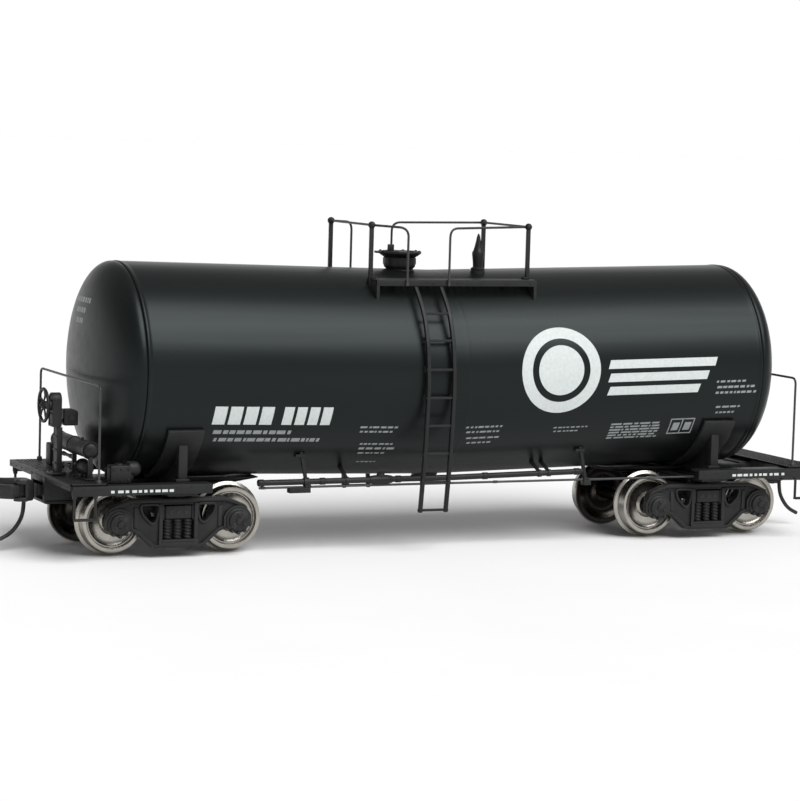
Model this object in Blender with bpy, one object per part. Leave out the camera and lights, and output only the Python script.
"""HO scale (1:87.1) model of a North American funnel-flow tank wagon.

The tank sags from both ends to a low point at mid-length. Each end stands on a four-wheel truck with
needle-point axles and carries a knuckle coupler in a box under the stub sill. The brake end is at -X,
the plain end at +X, the front is -Y and the rear is +Y. Lengths in the drawing functions are in
millimetres and heights are measured from the top of the rail; finish() moves each piece up by the
flange depth and turns it into metres, so the wheel flanges stand on z = 0.
"""

import math

import bmesh
import bpy
from mathutils import Vector

# ---------------------------------------------------------------- driving dimensions, millimetres
MM = 0.001                      # metres in a millimetre
GAP = 0.06                      # running or seating clearance between neighbouring pieces

TANK_RADIUS = 17.66
TANK_WALL = 1.1
TANK_AXIS_Z = 28.3              # height of the tank's axis at mid-length
TANK_SLOPE = 0.021              # rise of the axis for each millimetre away from mid-length
BARREL_HALF = 56.9
HEAD_DEPTH = 5.9
TANK_SIDES = 48

TRUCK_X = 49.55                 # half the distance between truck centres
HALF_WHEELBASE = 10.2
TREAD_RADIUS = 5.245
FLANGE_DEPTH = 0.64
WHEEL_FACE_Y = 10.0
WHEEL_BACK_Y = 7.2
AXLE_RADIUS = 1.0
AXLE_TIP_Y = 12.85
FRAME_INNER_Y = 11.25
FRAME_OUTER_Y = 13.0

SILL_HALF_WIDTH = 3.9           # stub sill
SILL_END_X = 69.6
SILL_TOP_Z = 11.35
COUPLER_Z = 9.55
COUPLER_PIVOT_X = 64.6
COUPLER_FACE_X = 76.6
KNUCKLE_PIN = (73.3, 1.25)      # distance from mid-length and sideways

PLATFORM_TOP_Z = 12.45          # end platform
PLATFORM_INNER_X = 63.0
PLATFORM_OUTER_X = 69.4
SIDE_Y = 16.95                  # outer face of the side sills
HANDRAIL_X = 64.4
HANDRAIL_Y = 16.4
HANDRAIL_TOP_Z = 28.0
WIRE_RADIUS = 0.2

WALK_TOP_Z = 44.95              # walkways beside the manway
WALK_X = (-14.9, 14.4)
WALK_Y = (7.7, 12.0)
POST_X = (-15.0, 14.3)
POST_Y = 8.95
RAIL_Z = 53.9
FOOT_X = (-9.7, -2.0)           # feet of the railing wires, either side of the head of each ladder
FOOT_Y = 12.32
FOOT_LOW_Z = 43.95
FOOT_TOP_Z = 53.6
LADDER_X = (-8.35, -3.05)
RUNG_Z = (39.5, 35.1, 30.3, 25.6, 20.9, 16.2, 11.3, 6.5)
BRACKET_Z = (35.1, 30.3, 25.6)
MANWAY_X = -5.8

PIPE_Y = -12.0                  # brake pipe and rod along the front of the tank
PIPE_PATH = ((-35.5, 11.2), (0.0, 11.32), (24.6, 11.8))
PIPE_RADIUS = 0.5
ROD_Z = 10.35
ROD_X = (-35.3, TRUCK_X - 2.6 - GAP)
ROD_RADIUS = 0.2
HANGER_X = {"b": -28.2, "a": 23.9}

BRAKE_Y = -4.3                  # hand brake
BRAKE_WHEEL = (-70.1, 23.85)     # x and height of the wheel's centre
BRAKE_WHEEL_RADIUS = 2.9

ENDS = {"b": -1, "a": 1}        # brake end and plain end, with the sign of their X
SIDES = {"front": -1, "rear": 1}

# ---------------------------------------------------------------- colours: rgb, roughness, metallic
FINISHES = {
    "tank_black": ((0.012, 0.013, 0.014), 0.38, 0.0),
    "detail_black": ((0.018, 0.018, 0.019), 0.55, 0.0),
    "truck_black": ((0.022, 0.022, 0.022), 0.65, 0.0),
    "wheel_metal": ((0.55, 0.53, 0.50), 0.28, 1.0),
    "coupler_metal": ((0.03, 0.028, 0.027), 0.5, 0.6),
    "spring_bronze": ((0.45, 0.30, 0.14), 0.4, 1.0),
    "screw_steel": ((0.35, 0.34, 0.33), 0.4, 1.0),
    "ballast_steel": ((0.30, 0.29, 0.28), 0.5, 1.0),
}


def finish_of(name):
    """The named Principled material, made once."""
    if name in bpy.data.materials:
        return bpy.data.materials[name]
    colour, roughness, metallic = FINISHES[name]
    material = bpy.data.materials.new(name)
    material.use_nodes = True
    shader = material.node_tree.nodes["Principled BSDF"]
    shader.inputs["Base Color"].default_value = (*colour, 1.0)
    shader.inputs["Roughness"].default_value = roughness
    shader.inputs["Metallic"].default_value = metallic
    return material


# ---------------------------------------------------------------- drawing tools
def clear_scene():
    for item in list(bpy.data.objects):
        bpy.data.objects.remove(item, do_unlink=True)


def solid(bm):
    """A working object from a closed bmesh, its faces turned outwards."""
    bmesh.ops.remove_doubles(bm, verts=bm.verts, dist=1e-5)
    bmesh.ops.recalc_face_normals(bm, faces=bm.faces)
    mesh = bpy.data.meshes.new("working")
    bm.to_mesh(mesh)
    bm.free()
    item = bpy.data.objects.new("working", mesh)
    bpy.context.scene.collection.objects.link(item)
    return item


def prism(outline, plane, low, high):
    """An outline drawn in a plane ("xy", "xz" or "yz"), pulled out along the third axis."""
    place = {
        "xy": lambda u, v, w: (u, v, w),
        "xz": lambda u, v, w: (u, w, v),
        "yz": lambda u, v, w: (w, u, v),
    }[plane]
    bm = bmesh.new()
    bottom = [bm.verts.new(place(u, v, low)) for u, v in outline]
    top = [bm.verts.new(place(u, v, high)) for u, v in outline]
    bm.faces.new(bottom)
    bm.faces.new(reversed(top))
    count = len(outline)
    for i in range(count):
        j = (i + 1) % count
        bm.faces.new((bottom[i], top[i], top[j], bottom[j]))
    return solid(bm)


def block(x, y, z):
    """A box between pairs of x, y and z."""
    outline = [(x[0], y[0]), (x[1], y[0]), (x[1], y[1]), (x[0], y[1])]
    return prism(outline, "xy", z[0], z[1])


def turned(profile, axis, centre, sides, loop=False):
    """A profile of (distance along the axis, radius) turned about an axis through centre."""
    place = {
        "x": lambda s, c, d: (s, c, d),
        "y": lambda s, c, d: (c, s, d),
        "z": lambda s, c, d: (c, d, s),
    }[axis]
    bm = bmesh.new()
    rings = []
    for along, radius in profile:
        steps = sides if radius > 0 else 1
        ring = []
        for i in range(steps):
            turn = 2 * math.pi * i / sides
            spot = place(along, radius * math.cos(turn), radius * math.sin(turn))
            ring.append(bm.verts.new([spot[k] + centre[k] for k in range(3)]))
        rings.append(ring)
    pairs = list(zip(rings, rings[1:]))
    if loop:
        pairs.append((rings[-1], rings[0]))
    for first, second in pairs:
        for i in range(sides):
            j = (i + 1) % sides
            corners = [first[i % len(first)], first[j % len(first)]]
            corners += [second[j % len(second)], second[i % len(second)]]
            corners = list(dict.fromkeys(corners))
            if len(corners) > 2:
                bm.faces.new(corners)
    return solid(bm)


def rounded(points, radius, steps=4):
    """A path through points whose inner corners are rounded with arcs of about this radius."""
    path = [points[0]]
    for before, corner, after in zip(points, points[1:], points[2:]):
        start = shifted(corner, before, radius)
        end = shifted(corner, after, radius)
        for i in range(steps + 1):
            t = i / steps
            spot = [
                (1 - t) ** 2 * start[k] + 2 * t * (1 - t) * corner[k] + t**2 * end[k]
                for k in range(3)
            ]
            path.append(tuple(spot))
    path.append(points[-1])
    return path


def shifted(corner, towards, distance):
    """The point at a distance from corner towards another point, no further than half way."""
    length = math.dist(corner, towards)
    share = min(distance / length, 0.5)
    return [corner[k] + share * (towards[k] - corner[k]) for k in range(3)]


def tube(path, radius, sides=6):
    """A round wire or pipe along a path, with flat ends."""
    points = [Vector(p) for p in path]
    bm = bmesh.new()
    rings = []
    across = None
    for i, point in enumerate(points):
        ahead = points[min(i + 1, len(points) - 1)]
        behind = points[max(i - 1, 0)]
        along = (ahead - behind).normalized()
        if across is None:
            helper = Vector((0, 0, 1)) if abs(along.z) < 0.9 else Vector((1, 0, 0))
            across = along.cross(helper).normalized()
        else:
            across = (across - along * across.dot(along)).normalized()
        other = along.cross(across)
        ring = []
        for k in range(sides):
            turn = 2 * math.pi * k / sides
            outwards = math.cos(turn) * across + math.sin(turn) * other
            ring.append(bm.verts.new(point + radius * outwards))
        rings.append(ring)
    for first, second in zip(rings, rings[1:]):
        for k in range(sides):
            j = (k + 1) % sides
            bm.faces.new((first[k], first[j], second[j], second[k]))
    bm.faces.new(rings[0])
    bm.faces.new(rings[-1])
    return solid(bm)


def combine(base, tools, operation):
    """The base with tools united to it or cut from it; the tools are used up."""
    for tool in tools:
        step = base.modifiers.new("combine", "BOOLEAN")
        step.operation = operation
        step.solver = "EXACT"
        step.object = tool
    graph = bpy.context.evaluated_depsgraph_get()
    mesh = bpy.data.meshes.new_from_object(base.evaluated_get(graph))
    base.modifiers.clear()
    base.data = mesh
    for tool in tools:
        bpy.data.objects.remove(tool, do_unlink=True)
    return base


def fuse(base, *tools):
    return combine(base, tools, "UNION")


def cut(base, *tools):
    return combine(base, tools, "DIFFERENCE")


def remade(item):
    """The working object again, with its faces turned outwards after its points were moved."""
    bm = bmesh.new()
    bm.from_mesh(item.data)
    bpy.data.objects.remove(item, do_unlink=True)
    return solid(bm)


def placed(item, x_sign=1, y_sign=1):
    """The working object mirrored in x, in y or in both where a sign is negative."""
    if x_sign > 0 and y_sign > 0:
        return item
    for vert in item.data.vertices:
        vert.co.x *= x_sign
        vert.co.y *= y_sign
    return remade(item)


def round_bar(start, stop, radius, axis, centre, sides=12):
    """A plain cylinder between two distances along an axis through centre."""
    profile = [(start, 0.0), (start, radius), (stop, radius), (stop, 0.0)]
    return turned(profile, axis, centre, sides)


def finish(item, name, material, pivot=(0.0, 0.0, 0.0)):
    """Names a working object, gives it its material and its origin, and turns it into metres."""
    for vert in item.data.vertices:
        vert.co = [(vert.co[k] - pivot[k]) * MM for k in range(3)]
    item.location = [pivot[0] * MM, pivot[1] * MM, (pivot[2] + FLANGE_DEPTH) * MM]
    item.name = name
    item.data.name = name
    item.data.materials.clear()
    item.data.materials.append(finish_of(material))
    item.data.shade_smooth()
    item.data.set_sharp_from_angle(angle=math.radians(35))
    return item


def axis_height(x):
    """Height of the tank's axis at x."""
    return TANK_AXIS_Z + TANK_SLOPE * abs(x)


# ---------------------------------------------------------------- tank
def tank_rings(radius, half_length):
    """Corner points of the sagging barrel: one ring at each end and one at mid-length."""
    rings = []
    for x in (-half_length, 0.0, half_length):
        ring = []
        for i in range(TANK_SIDES):
            turn = 2 * math.pi * i / TANK_SIDES
            y = radius * math.cos(turn)
            ring.append((x, y, axis_height(x) + radius * math.sin(turn)))
        rings.append(ring)
    return rings


def tank_bar(radius, half_length):
    """A solid bar in the shape of the barrel, which the fittings are cut back with."""
    bm = bmesh.new()
    rings = [[bm.verts.new(p) for p in ring] for ring in tank_rings(radius, half_length)]
    join_rings(bm, rings)
    bm.faces.new(rings[0])
    bm.faces.new(rings[-1])
    return solid(bm)


def join_rings(bm, rings):
    for first, second in zip(rings, rings[1:]):
        for i in range(len(first)):
            j = (i + 1) % len(first)
            bm.faces.new((first[i], first[j], second[j], second[i]))


def make_barrel():
    bm = bmesh.new()
    outer = [[bm.verts.new(p) for p in ring] for ring in tank_rings(TANK_RADIUS, BARREL_HALF)]
    inner = [
        [bm.verts.new(p) for p in ring]
        for ring in tank_rings(TANK_RADIUS - TANK_WALL, BARREL_HALF)
    ]
    join_rings(bm, outer + inner[::-1] + [outer[0]])
    finish(solid(bm), "tank_barrel", "tank_black")


def make_head(end, sign):
    """A dished head with a spigot that slides into the barrel, turned about the sloping axis."""
    start = GAP
    profile = []
    for i in range(6):
        turn = math.pi / 2 * i / 5
        profile.append((start + HEAD_DEPTH * math.sin(turn), TANK_RADIUS * math.cos(turn)))
    profile[-1] = (start + HEAD_DEPTH, 0.0)
    inner = TANK_RADIUS - TANK_WALL - GAP
    profile = [(-2.6, inner), (start, inner)] + profile
    hollow = inner - 0.9
    profile += [(start + HEAD_DEPTH - 1.2, 0.0)]
    turn = math.radians(45)
    profile.append((start + (HEAD_DEPTH - 1.2) * math.sin(turn), hollow * math.cos(turn)))
    profile.append((start, hollow))
    profile.append((-2.6, hollow))
    head = turned(profile + profile[:1], "x", (0.0, 0.0, 0.0), TANK_SIDES)
    for vert in head.data.vertices:
        vert.co.z += TANK_SLOPE * vert.co.x + axis_height(BARREL_HALF)
        vert.co.x = sign * (vert.co.x + BARREL_HALF)
    finish(remade(head), f"tank_head_{end}", "tank_black")


def make_ballast():
    """A steel bar that lies in the bottom of the tank on its two long edges."""
    half_length, half_width, height = 42.0, 9.0, 6.6
    inner = TANK_RADIUS - TANK_WALL - 0.3
    low = axis_height(half_length) - math.sqrt(inner**2 - half_width**2)
    bar = block((-half_length, half_length), (-half_width, half_width), (low, low + height))
    finish(bar, "ballast_weight", "ballast_steel")


# ---------------------------------------------------------------- top of the tank
def rail_path(end):
    """Centre line of one end of the top railing, from foot to foot."""
    post = POST_X[0] if end == "b" else POST_X[1]
    foot = FOOT_X[0] if end == "b" else FOOT_X[1]
    corners = [
        (foot, -FOOT_Y, FOOT_LOW_Z),
        (foot, -FOOT_Y, FOOT_TOP_Z),
        (post, -POST_Y, RAIL_Z),
        (post, POST_Y, RAIL_Z),
        (foot, FOOT_Y, FOOT_TOP_Z),
        (foot, FOOT_Y, FOOT_LOW_Z),
    ]
    return rounded(corners, 1.6)


def make_walkway(side, sign):
    """A walkway plate with its hanging lip, end gussets and the two railing posts."""
    top = WALK_TOP_Z
    inner, outer = WALK_Y
    plate = block(WALK_X, (inner, outer), (top - 0.4, top))
    lip = block(WALK_X, (outer - 0.35, outer + 0.05), (top - 1.1, top - 0.1))
    pieces = [lip]
    for x in (WALK_X[0], WALK_X[1] - 0.6):
        outline = [(inner, top - 0.2), (outer, top - 0.2), (outer, 42.2), (inner, 42.2)]
        pieces.append(prism(outline, "yz", x, x + 0.6))
    for x in POST_X:
        pieces.append(block((x - 0.35, x + 0.35), (POST_Y - 0.3, POST_Y + 0.3), (42.6, RAIL_Z)))
        ball = [(-0.65, 0.0), (-0.46, 0.46), (0.0, 0.65), (0.46, 0.46), (0.65, 0.0)]
        pieces.append(turned(ball, "z", (x, POST_Y, RAIL_Z), 8))
    walkway = fuse(plate, *pieces)
    eyes = [tube(rail_path(end), WIRE_RADIUS + GAP, 6) for end in ENDS]
    cut(walkway, tank_bar(TANK_RADIUS + GAP, 30.0), *eyes)
    walkway = placed(walkway, y_sign=sign)
    finish(walkway, f"top_platform_{side}", "detail_black")


def make_top_rail(end):
    finish(tube(rail_path(end), WIRE_RADIUS, 6), f"top_railing_{end}", "detail_black")


def make_manway():
    neck = turned([(44.0, 0.0), (44.0, 2.7), (45.9, 2.7), (46.1, 2.4), (46.3, 2.73), (48.1, 2.73), (48.1, 0.0)],
                  "z", (MANWAY_X, 0.0, 0.0), 20)
    cut(neck, tank_bar(TANK_RADIUS + GAP, 30.0))
    finish(neck, "manway_neck", "detail_black")
    cover = turned([(48.16, 0.0), (48.16, 2.8), (48.8, 3.72), (49.15, 3.72), (49.25, 3.3), (49.25, 0.0)],
                   "z", (MANWAY_X, 0.0, 0.0), 20)
    lug = block((MANWAY_X - 2.2, MANWAY_X - 1.2), (-0.4, 0.4), (49.0, 50.35))
    hinge = block((MANWAY_X - 4.5, MANWAY_X - 3.3), (-0.7, 0.7), (48.75, 49.2))
    finish(fuse(cover, lug, hinge), "manway_cover", "detail_black")


def make_relief_valve():
    profile = [
        (44.0, 0.0), (44.0, 1.3), (46.4, 1.3), (46.4, 0.9), (49.4, 0.95),
        (50.2, 0.7), (51.9, 0.35), (52.5, 0.0),
    ]
    valve = turned(profile, "z", (7.5, -3.4, 0.0), 12)
    cut(valve, tank_bar(TANK_RADIUS + GAP, 30.0))
    finish(valve, "relief_valve", "detail_black")


def ladder_curve():
    """Front edge of a ladder's side rail: distance from the middle and height, top to bottom."""
    knots = [
        (12.35, 43.8), (15.9, 39.8), (17.9, 35.1), (18.7, 30.3), (18.85, 25.5),
        (18.2, 16.3), (17.6, 11.2), (16.9, 6.1),
    ]
    curve = []
    for i in range(len(knots) - 1):
        p0 = knots[max(i - 1, 0)]
        p1, p2 = knots[i], knots[i + 1]
        p3 = knots[min(i + 2, len(knots) - 1)]
        for t in (0.0, 0.5):
            curve.append(tuple(spline_value(p0[k], p1[k], p2[k], p3[k], t) for k in range(2)))
    curve.append(knots[-1])
    return curve


def spline_value(a, b, c, d, t):
    """Catmull-Rom value between b and c."""
    linear = (c - a) * t
    squared = (2 * a - 5 * b + 4 * c - d) * t**2
    cubed = (3 * b - a - 3 * c + d) * t**3
    return 0.5 * (2 * b + linear + squared + cubed)


def ladder_point(height):
    """Distance from the middle of the ladder's front edge at a height."""
    curve = ladder_curve()
    for (y0, z0), (y1, z1) in zip(curve, curve[1:]):
        if z1 <= height <= z0:
            return y0 + (y1 - y0) * (z0 - height) / (z0 - z1)
    return curve[-1][0]


def make_ladder(side, sign):
    """Two curved side rails, eight rungs and the brackets that hold them off the tank."""
    depth = 0.7                 # of a side rail, seen from the wagon's end
    width = 0.65                # of a side rail, seen from the front
    half_rung = 0.24
    left, right = LADDER_X
    front = ladder_curve()
    back = [(y - depth, z) for y, z in front]
    outline = [(sign * y, z) for y, z in front + back[::-1]]
    rails = [
        prism(outline, "yz", left, left + width),
        prism(outline, "yz", right - width, right),
    ]
    rungs = []
    for z in RUNG_Z:
        y = sign * (ladder_point(z) - depth / 2)
        rung = block((left + 0.2, right - 0.2), (y - half_rung, y + half_rung), (z - 0.22, z + 0.22))
        rungs.append(rung)
    for z in BRACKET_Z:
        reach = ladder_point(z) - depth / 2
        y = sorted((sign * reach, sign * (reach - 3.0)))
        for x in (left + 0.1, right - 0.5):
            rungs.append(block((x, x + 0.4), y, (z - 0.2, z + 0.2)))
    ladder = fuse(rails[0], rails[1], *rungs)
    cut(ladder, tank_bar(TANK_RADIUS + GAP, 30.0))
    finish(ladder, f"ladder_{side}", "detail_black")


# ---------------------------------------------------------------- underframe
def make_saddle(end, sign):
    """Body bolster: a base plate over the truck, webs, curved tank pads and end posts."""
    x = TRUCK_X
    base = block((x - 2.6, x + 2.6), (-13.4, 13.4), (9.75, 10.32))
    pieces = []
    for side in (-1, 1):
        y = sorted((side * (SILL_HALF_WIDTH + GAP), side * 13.2))
        pieces.append(block((x - 0.6, x + 0.6), y, (10.1, 17.8)))
        post = sorted((side * 13.0, side * 14.6))
        pieces.append(block((x - 0.75, x + 0.75), post, (12.06, 18.2)))
        pieces.append(saddle_pad(x, side))
        pieces.append(block((x - 0.6, x + 0.6), sorted((side * 12.6, side * 13.8)), (9.95, 12.8)))
    saddle = fuse(base, *pieces)
    hole = round_bar(9.0, 11.0, 1.2, "z", (x, 0.0, 0.0))
    cut(saddle, tank_bar(TANK_RADIUS + GAP, 62.0), hole)
    saddle = placed(saddle, x_sign=sign)
    finish(saddle, f"saddle_{end}", "detail_black")


def saddle_pad(x, side):
    """A curved strip that hugs the tank's lower side from the stub sill up to the side."""
    centre = axis_height(x)
    radii = (TANK_RADIUS - 0.5, TANK_RADIUS + 0.75)
    turns = [math.radians(a) for a in (-77, -68, -60, -52, -44, -36, -29)]
    inner = [(side * radii[0] * math.cos(a), centre + radii[0] * math.sin(a)) for a in turns]
    outer = [(side * radii[1] * math.cos(a), centre + radii[1] * math.sin(a)) for a in turns]
    return prism(inner + outer[::-1], "yz", x - 3.1, x + 3.1)


def make_stub_sill(end, sign):
    """A beam from inside the truck to the end platform, with the coupler box in its outer end."""
    outline = [
        (32.4, 11.1), (36.5, 10.4), (53.6, 10.4), (55.4, 8.1), (SILL_END_X, 8.1), (SILL_END_X, 11.95),
        (63.4, 11.95), (62.8, SILL_TOP_Z), (45.2, SILL_TOP_Z), (32.4, 11.22),
    ]
    sill = prism(outline, "xz", -SILL_HALF_WIDTH, SILL_HALF_WIDTH)
    pocket = block((61.2, SILL_END_X + 1.0), (-3.1, 3.1), (7.0, 10.95))
    hole = round_bar(9.0, 12.5, 1.2, "z", (TRUCK_X, 0.0, 0.0))
    cut(sill, pocket, hole)
    sill = placed(sill, x_sign=sign)
    finish(sill, f"stub_sill_{end}", "detail_black")


def make_side_sill(end, side, x_sign, y_sign):
    """An angle-section side sill with its stirrup step."""
    outline = [
        (SIDE_Y, 10.4), (SIDE_Y, 12.0), (13.9, 12.0), (13.9, 11.65), (SIDE_Y - 0.45, 11.65),
        (SIDE_Y - 0.45, 10.4),
    ]
    sill = prism(outline, "yz", 45.2, 68.95)
    y = (SIDE_Y - 0.48, SIDE_Y - 0.02)
    pieces = [
        block((64.75, 65.2), y, (6.5, 10.9)),
        block((68.3, 68.75), y, (6.5, 10.9)),
        block((64.75, 68.75), (SIDE_Y - 0.75, SIDE_Y), (6.4, 6.8)),
    ]
    sill = fuse(sill, *pieces)
    sill = placed(sill, x_sign, y_sign)
    finish(sill, f"side_sill_{end}_{side}", "detail_black")


def make_end_platform(end, sign):
    """A full-width deck with a bent-down outer edge."""
    top = PLATFORM_TOP_Z
    width = (-17.0, 17.0)
    deck = block((PLATFORM_INNER_X, PLATFORM_OUTER_X), width, (top - 0.4, top))
    lip = block((PLATFORM_OUTER_X - 0.35, PLATFORM_OUTER_X + 0.05), width, (top - 1.1, top - 0.1))
    rib = block((PLATFORM_INNER_X + 0.1, PLATFORM_INNER_X + 0.5), (-13.0, 13.0), (top - 0.6, top - 0.1))
    platform = fuse(deck, lip, rib)
    cut(platform, block((60.0, 72.0), (-SILL_HALF_WIDTH - GAP, SILL_HALF_WIDTH + GAP), (8.0, 12.01)))
    platform = placed(platform, x_sign=sign)
    finish(platform, f"end_platform_{end}", "detail_black")


def make_end_handrail(end, sign):
    x = sign * HANDRAIL_X
    low = PLATFORM_TOP_Z + GAP
    corners = [
        (x, -HANDRAIL_Y, low),
        (x, -HANDRAIL_Y, HANDRAIL_TOP_Z),
        (x, HANDRAIL_Y, HANDRAIL_TOP_Z),
        (x, HANDRAIL_Y, low),
    ]
    finish(tube(rounded(corners, 1.2), WIRE_RADIUS, 6), f"end_handrail_{end}", "detail_black")


def make_outlet():
    """Bottom outlet nozzle under the lowest point of the tank."""
    nozzle = turned([(9.3, 0.0), (9.3, 1.1), (9.9, 1.5), (9.9, 2.3), (11.2, 2.3), (11.2, 0.0)],
                    "z", (0.0, 0.0, 0.0), 14)
    cut(nozzle, tank_bar(TANK_RADIUS + GAP, 30.0))
    finish(nozzle, "bottom_outlet", "detail_black")


def pipe_height(x):
    """Height of the brake pipe's centre line at x."""
    for (x0, z0), (x1, z1) in zip(PIPE_PATH, PIPE_PATH[1:]):
        if x <= x1:
            return z0 + (z1 - z0) * (x - x0) / (x1 - x0)
    return PIPE_PATH[-1][1]


def make_brake_pipe():
    """The pipe along the front of the tank, with its collar, its cut-out cock and two clips."""
    pipe = tube([(x, PIPE_Y, z) for x, z in PIPE_PATH], PIPE_RADIUS, 8)
    start = PIPE_PATH[0][0]
    fittings = [round_bar(start, start + 1.1, 0.6, "x", (0.0, PIPE_Y, pipe_height(start)), 8)]
    cock_x = (-15.6, -11.3)
    fittings.append(block(cock_x, (PIPE_Y - 0.75, PIPE_Y + 0.75), (10.65, 12.5)))
    for x in (-19.6, 16.4, 18.2):
        low = pipe_height(x) - 0.3
        strap = [(PIPE_Y - 0.35, low), (PIPE_Y + 0.35, low), (-8.2, 13.2), (-9.0, 13.8)]
        fittings.append(prism(strap, "yz", x - 0.35, x + 0.35))
    pipe = fuse(pipe, *fittings)
    finish(cut(pipe, tank_bar(TANK_RADIUS + GAP, 40.0)), "brake_pipe", "detail_black")


def make_brake_rod():
    rod = round_bar(*ROD_X, ROD_RADIUS, "x", (0.0, PIPE_Y, ROD_Z), 6)
    finish(rod, "brake_rod", "detail_black")


def make_pipe_hanger(end):
    """A slanted strap from the tank down to the pipe and the rod, with a foot around them."""
    x = HANGER_X[end]
    outline = [(x - 0.3, 18.0), (x + 0.3, 18.0), (x + 1.9, 9.7), (x + 1.3, 9.7)]
    strap = prism(outline, "xz", PIPE_Y - 0.3, PIPE_Y + 0.3)
    foot_x = (x - 1.9, x + 1.9) if end == "b" else (x + 0.9, x + 2.3)
    feet = [block(foot_x, (PIPE_Y - 0.7, PIPE_Y + 0.7), (9.4, 10.9))]
    slots = [round_bar(x - 5.0, x + 5.0, ROD_RADIUS + GAP, "x", (0.0, PIPE_Y, ROD_Z), 8)]
    if end == "b":
        feet.append(block((x + 0.6, x + 1.9), (PIPE_Y - 0.85, PIPE_Y + 0.85), (10.5, 12.2)))
        slots.append(tube([(px, PIPE_Y, pz) for px, pz in PIPE_PATH[:2]], PIPE_RADIUS + GAP, 8))
    strap = cut(fuse(strap, *feet), tank_bar(TANK_RADIUS + GAP, 40.0), *slots)
    finish(strap, f"pipe_hanger_{end}", "detail_black")


# ---------------------------------------------------------------- brake equipment
def make_brake_stand():
    """A column on the end platform that carries the hand brake's gear housing."""
    low = PLATFORM_TOP_Z + GAP
    column = block((-68.05, -67.15), (BRAKE_Y - 1.0, BRAKE_Y + 1.0), (low, 20.3))
    foot = block((-69.0, -66.5), (BRAKE_Y - 1.5, BRAKE_Y + 1.5), (low, low + 0.45))
    finish(fuse(column, foot), "brake_stand", "detail_black")


def make_gear_housing():
    """Hand-brake gear housing, rounded at the top, with a shaft bearing and a chain box on an arm."""
    wheel_x, wheel_z = BRAKE_WHEEL
    half = 1.2
    outline = [(BRAKE_Y - half, 20.36), (BRAKE_Y + half, 20.36)]
    for turn in range(0, 181, 30):
        a = math.radians(turn)
        outline.append((BRAKE_Y + half * math.cos(a), 24.7 + half * math.sin(a)))
    housing = prism(outline, "yz", -68.9, -67.3)
    boss = round_bar(-69.4, -68.7, 0.9, "x", (0.0, BRAKE_Y, wheel_z))
    arm = block((-67.6, -66.5), (BRAKE_Y - 0.3, BRAKE_Y + 0.3), (20.9, 21.6))
    box = block((-66.85, -64.45), (BRAKE_Y - 0.9, BRAKE_Y + 0.9), (20.5, 23.2))
    housing = fuse(housing, boss, arm, box)
    bore = round_bar(-69.8, -67.7, 0.42, "x", (0.0, BRAKE_Y, wheel_z))
    finish(cut(housing, bore), "gear_housing", "detail_black")


def make_brake_wheel():
    """Rim, four spokes, hub and the shaft that turns in the gear housing."""
    x, z = BRAKE_WHEEL
    radius = BRAKE_WHEEL_RADIUS
    rim = turned(
        [(x - 0.25, radius - 0.5), (x - 0.25, radius), (x + 0.25, radius), (x + 0.25, radius - 0.5)],
        "x", (0.0, BRAKE_Y, z), 24, loop=True)
    hub = turned([(x - 0.45, 0.0), (x - 0.45, 0.7), (x + 0.5, 0.7), (x + 0.5, 0.34),
                  (x + 2.3, 0.34), (x + 2.3, 0.0)], "x", (0.0, BRAKE_Y, z), 12)
    reach = radius - 0.25
    flat = block((x - 0.15, x + 0.15), (BRAKE_Y - reach, BRAKE_Y + reach), (z - 0.22, z + 0.22))
    tall = block((x - 0.15, x + 0.15), (BRAKE_Y - 0.22, BRAKE_Y + 0.22), (z - reach, z + reach))
    wheel = fuse(rim, hub, flat, tall)
    finish(wheel, "brake_wheel", "detail_black", (x, BRAKE_Y, z))


def make_air_brake():
    """Long air reservoir on legs with its pipes and relay, the brake cylinder under it, and the valve."""
    low = PLATFORM_TOP_Z + GAP
    x = -64.8
    reservoir = turned([(-13.6, 0.0), (-13.5, 1.0), (-12.9, 1.35), (4.4, 1.35), (5.0, 1.0), (5.1, 0.0)],
                       "y", (x, 0.0, 17.3), 14)
    pieces = [block((x - 0.4, x + 0.4), (y - 0.4, y + 0.4), (low, 16.6)) for y in (-13.0, -4.4, 3.9)]
    for z in (15.2, 13.4):
        pieces.append(round_bar(-4.4, 6.6, 0.3, "y", (x, 0.0, z), 8))
    pieces.append(block((x - 0.9, x + 0.9), (6.2, 8.6), (low, 16.3)))
    finish(fuse(reservoir, *pieces), "air_reservoir", "detail_black")
    cylinder = turned([(-12.3, 0.0), (-12.3, 0.85), (-11.9, 1.05), (-9.0, 1.05), (-9.0, 1.3),
                       (-8.6, 1.3), (-8.6, 0.35), (-5.2, 0.35), (-5.2, 0.0)],
                      "y", (x, 0.0, 14.3), 14)
    feet = [block((x - 0.4, x + 0.4), (y, y + 0.6), (low, 13.8)) for y in (-11.4, -9.7)]
    finish(fuse(cylinder, *feet), "brake_cylinder", "detail_black")
    body = block((-61.9, -58.4), (-14.9, -12.4), (12.06, 15.0))
    flange = block((-62.4, -57.9), (-14.4, -12.9), (12.6, 14.6))
    dome = turned([(-58.6, 0.0), (-58.6, 1.25), (-57.1, 1.25), (-56.5, 0.8), (-56.5, 0.0)],
                  "x", (0.0, -13.6, 14.3), 12)
    finish(fuse(body, flange, dome), "control_valve", "detail_black")


# ---------------------------------------------------------------- couplers
def coupler_shape(sign):
    """Places a point given as (outward, sideways) for the coupler at one end."""
    return lambda out, across: (sign * out, sign * across)


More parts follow.
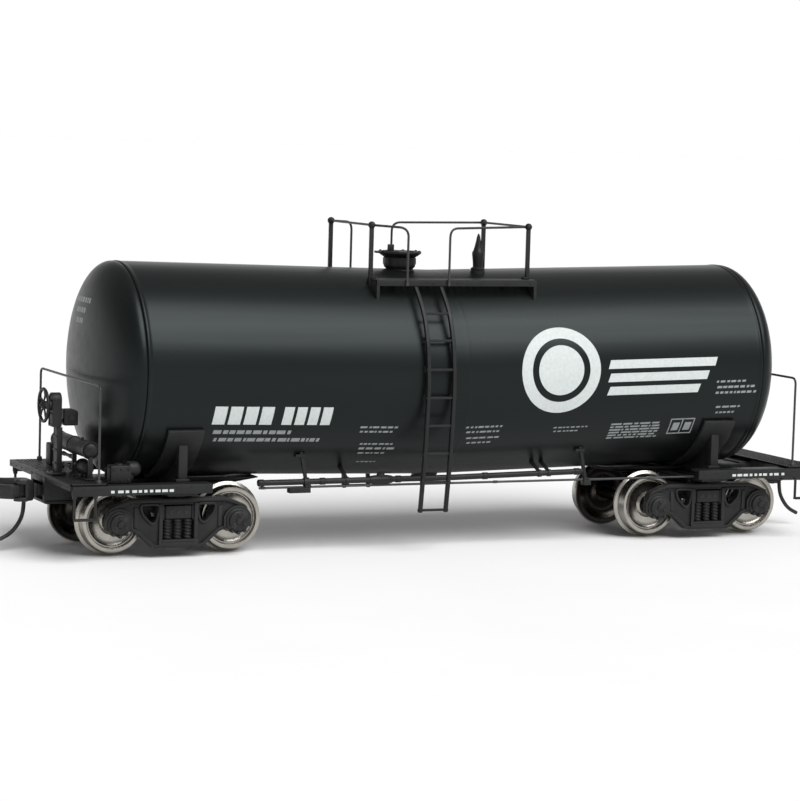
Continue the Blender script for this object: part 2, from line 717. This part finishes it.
def make_coupler_box_lid(end, sign):
    """Cover under the coupler box, with the pivot post that the coupler turns on."""
    lid = block((60.95, SILL_END_X - 0.1), (-SILL_HALF_WIDTH, SILL_HALF_WIDTH), (7.55, 8.04))
    post = round_bar(7.8, 10.85, 0.95, "z", (COUPLER_PIVOT_X, 0.0, 0.0))
    lid = fuse(lid, post)
    lid = placed(lid, x_sign=sign)
    finish(lid, f"coupler_box_lid_{end}", "detail_black")


def make_centring_spring(end, sign):
    """A bronze leaf that sits on the post and holds the shank between two fingers."""
    top = COUPLER_Z + 1.2
    plate = block((62.4, 66.2), (-2.6, 2.6), (top - 0.18, top))
    fingers = []
    for side in (-1, 1):
        y = sorted((side * 2.45, side * 2.65))
        fingers.append(block((64.8, 68.3), y, (COUPLER_Z - 0.7, top - 0.05)))
    hole = round_bar(9.0, 12.0, 1.05, "z", (COUPLER_PIVOT_X, 0.0, 0.0))
    spring = cut(fuse(plate, *fingers), hole)
    spring = placed(spring, x_sign=sign)
    finish(spring, f"centring_spring_{end}", "spring_bronze")


def make_coupler(end, sign):
    """Shank with its pivot eye, head, guard arm and the jaws that hold the knuckle."""
    spot = coupler_shape(sign)
    low, high = COUPLER_Z - 0.85, COUPLER_Z + 0.85
    eye = round_bar(low, high, 1.9, "z", (sign * COUPLER_PIVOT_X, 0.0, 0.0), 14)
    shank = block(sorted((sign * 65.0, sign * 71.2)), (-1.1, 1.1), (low, high))
    head = prism(
        [spot(70.6, -1.5), spot(71.4, -2.3), spot(74.3, -2.6), spot(76.2, -2.75), spot(76.4, -2.3),
         spot(74.6, -1.1), spot(73.2, -0.5), spot(72.4, 0.4), spot(72.2, 2.2), spot(70.6, 1.7)],
        "xy", COUPLER_Z - 1.75, COUPLER_Z + 1.75)
    pin_x, pin_y = KNUCKLE_PIN
    jaws = []
    for z0, z1 in ((-1.75, -1.1), (1.1, 1.75)):
        outline = [spot(71.8, 0.2), spot(73.6, 0.4), spot(74.1, 1.3), spot(73.4, 2.1), spot(71.8, 2.3)]
        jaws.append(prism(outline, "xy", COUPLER_Z + z0, COUPLER_Z + z1))
    hole = round_bar(low - 1, high + 1, 1.05, "z", (sign * COUPLER_PIVOT_X, 0.0, 0.0))
    pin_hole = round_bar(7.0, 12.0, 0.36, "z", (*spot(pin_x, pin_y), 0.0), 10)
    trip_hole = round_bar(7.0, 9.4, 0.36, "z", (*spot(71.9, 0.0), 0.0), 10)
    coupler = cut(fuse(shank, eye, head, *jaws), hole, pin_hole, trip_hole)
    finish(coupler, f"coupler_{end}", "coupler_metal", (sign * COUPLER_PIVOT_X, 0.0, COUPLER_Z))


def make_knuckle(end, sign):
    """The hooked jaw with its own pin."""
    spot = coupler_shape(sign)
    pin_x, pin_y = KNUCKLE_PIN
    outline = [
        spot(72.7, 1.0), spot(73.2, 0.6), spot(74.6, 0.9), spot(75.2, 0.3), spot(75.7, -0.55),
        spot(COUPLER_FACE_X, -0.4), spot(COUPLER_FACE_X, 0.6), spot(75.9, 1.7), spot(74.6, 2.3),
        spot(73.0, 2.0),
    ]
    hook = prism(outline, "xy", COUPLER_Z - 1.02, COUPLER_Z + 1.02)
    pin = round_bar(COUPLER_Z - 1.7, COUPLER_Z + 1.7, 0.28, "z", (*spot(pin_x, pin_y), 0.0), 10)
    knuckle = fuse(hook, pin)
    finish(knuckle, f"knuckle_{end}", "coupler_metal", (*spot(pin_x, pin_y), COUPLER_Z))


def make_trip_pin(end, sign):
    """The curved wire under the coupler that looks like an air hose."""
    corners = [(71.9, 0.0, 9.2), (71.9, 0.0, 6.6), (72.3, 0.0, 4.6), (73.9, 0.0, 2.4), (75.9, 0.0, 1.4)]
    path = rounded([(sign * x, y, z) for x, y, z in corners], 1.2, 3)
    finish(tube(path, 0.3, 8), f"trip_pin_{end}", "coupler_metal")


# ---------------------------------------------------------------- trucks
def side_frame_outline():
    """One half of a cast side frame seen from the side, from the top middle to the bottom middle."""
    half = [
        (8.2, 9.15), (9.9, 8.6), (11.7, 7.8), (12.1, 7.0), (12.1, 4.9), (11.4, 4.3),
        (8.3, 3.9), (7.3, 3.7), (4.2, 1.0),
    ]
    left = [(-x, z) for x, z in half[::-1]]
    return half + left


def make_side_frame(end, side, x_sign, y_sign):
    """Side frame with bearing caps, spring group, open triangles and the pits for the axle points."""
    frame = prism(side_frame_outline(), "xz", FRAME_INNER_Y, FRAME_OUTER_Y)
    caps = []
    pits = []
    for x in (-HALF_WHEELBASE, HALF_WHEELBASE):
        caps.append(turned([(FRAME_INNER_Y, 0.0), (FRAME_INNER_Y, 2.2), (13.5, 2.2), (13.7, 1.7),
                            (14.2, 1.5), (14.2, 0.0)], "y", (x, 0.0, TREAD_RADIUS), 12))
        pits.append(turned([(11.0, 0.0), (11.0, 1.3), (11.25, 1.18), (13.05, 0.2), (13.05, 0.0)],
                           "y", (x, 0.0, TREAD_RADIUS), 8))
    window = block((-2.7, 2.7), (11.0, 14.0), (2.4, 8.05))
    triangles = []
    for s in (-1, 1):
        outline = [(s * 3.4, 8.0), (s * 6.3, 8.0), (s * 5.9, 6.6), (s * 4.5, 5.2), (s * 3.9, 5.6)]
        triangles.append(prism(outline, "xz", 11.0, 14.0))
    frame = cut(fuse(frame, *caps), window, *triangles, *pits)
    springs = []
    for x in (-1.75, 0.0, 1.75):
        springs.append(round_bar(2.2, 5.75, 0.72, "z", (x, 12.15, 0.0), 8))
    frame = fuse(frame, *springs)
    frame = placed(frame, y_sign=y_sign)
    for vert in frame.data.vertices:
        vert.co.x += x_sign * TRUCK_X
    finish(frame, f"side_frame_{end}_{side}", "truck_black", (x_sign * TRUCK_X, 0.0, 0.0))


def make_truck_bolster(end, sign):
    """The cross beam between the side frames, with its centre plate, kingpin hole and brake beams."""
    x = sign * TRUCK_X
    inner = FRAME_INNER_Y - GAP
    beam = block((x - 2.9, x + 2.9), (-inner, inner), (6.5, 8.6))
    plate = round_bar(8.0, 9.68, 2.9, "z", (x, 0.0, 0.0), 16)
    tongue = block((x - 2.3, x + 2.3), (-12.9, 12.9), (5.85, 7.95))
    pieces = [plate, tongue]
    for side in (-1, 1):
        beam_x = sorted((x + side * 2.7, x + side * 4.2))
        pieces.append(block(beam_x, (-8.0, 8.0), (6.7, 7.3)))
        beam_ends = block(sorted((x + side * 3.4, x + side * 4.2)), (-9.7, 9.7), (6.75, 7.25))
        pieces.append(beam_ends)
        for y in (-9.85, 8.15):
            shoe_x = sorted((x + side * 3.7, x + side * 4.75))
            pieces.append(block(shoe_x, (y, y + 1.7), (4.6, 7.2)))
    bolster = fuse(beam, *pieces)
    hole = round_bar(5.0, 10.0, 1.35, "z", (x, 0.0, 0.0))
    finish(cut(bolster, hole), f"truck_bolster_{end}", "truck_black", (x, 0.0, 0.0))


def make_kingpin(end, sign):
    """The screw that the truck swivels on."""
    x = sign * TRUCK_X
    profile = [(4.7, 0.0), (4.7, 1.9), (5.75, 2.1), (5.75, 1.1), (11.2, 1.1), (11.2, 0.0)]
    screw = turned(profile, "z", (x, 0.0, 0.0), 12)
    slot = block((x - 3.0, x + 3.0), (-0.2, 0.2), (4.0, 5.1))
    finish(cut(screw, slot), f"kingpin_{end}", "screw_steel")


def wheelset_profile():
    """Half of a wheelset from its needle point to the middle, as distance along the axle and radius."""
    return [
        (AXLE_TIP_Y, 0.0),
        (11.15, AXLE_RADIUS),
        (9.8, AXLE_RADIUS),
        (9.3, 1.7),
        (9.3, 4.2),
        (WHEEL_FACE_Y, 4.45),
        (WHEEL_FACE_Y, TREAD_RADIUS - 0.1),
        (8.0, TREAD_RADIUS),
        (7.75, TREAD_RADIUS + FLANGE_DEPTH),
        (WHEEL_BACK_Y, TREAD_RADIUS + 0.3),
        (WHEEL_BACK_Y, AXLE_RADIUS),
    ]


def make_wheelset(number, x):
    half = wheelset_profile()
    whole = [(-y, r) for y, r in half] + half[::-1]
    centre = (x, 0.0, TREAD_RADIUS)
    finish(turned(whole, "y", centre, 20), f"wheelset_{number}", "wheel_metal", centre)


# ---------------------------------------------------------------- assembly
def build():
    clear_scene()
    make_barrel()
    make_ballast()
    make_manway()
    make_relief_valve()
    make_outlet()
    make_brake_pipe()
    make_brake_rod()
    make_brake_stand()
    make_gear_housing()
    make_brake_wheel()
    make_air_brake()
    for side, y_sign in SIDES.items():
        make_walkway(side, y_sign)
        make_ladder(side, y_sign)
    number = 1
    for end, x_sign in ENDS.items():
        make_head(end, x_sign)
        make_top_rail(end)
        make_pipe_hanger(end)
        make_saddle(end, x_sign)
        make_stub_sill(end, x_sign)
        make_end_platform(end, x_sign)
        make_end_handrail(end, x_sign)
        make_coupler_box_lid(end, x_sign)
        make_centring_spring(end, x_sign)
        make_coupler(end, x_sign)
        make_knuckle(end, x_sign)
        make_trip_pin(end, x_sign)
        make_truck_bolster(end, x_sign)
        make_kingpin(end, x_sign)
        for side, y_sign in SIDES.items():
            make_side_sill(end, side, x_sign, y_sign)
            make_side_frame(end, side, x_sign, y_sign)
        for offset in (-HALF_WHEELBASE, HALF_WHEELBASE):
            make_wheelset(number, x_sign * TRUCK_X + offset)
            number += 1


build()
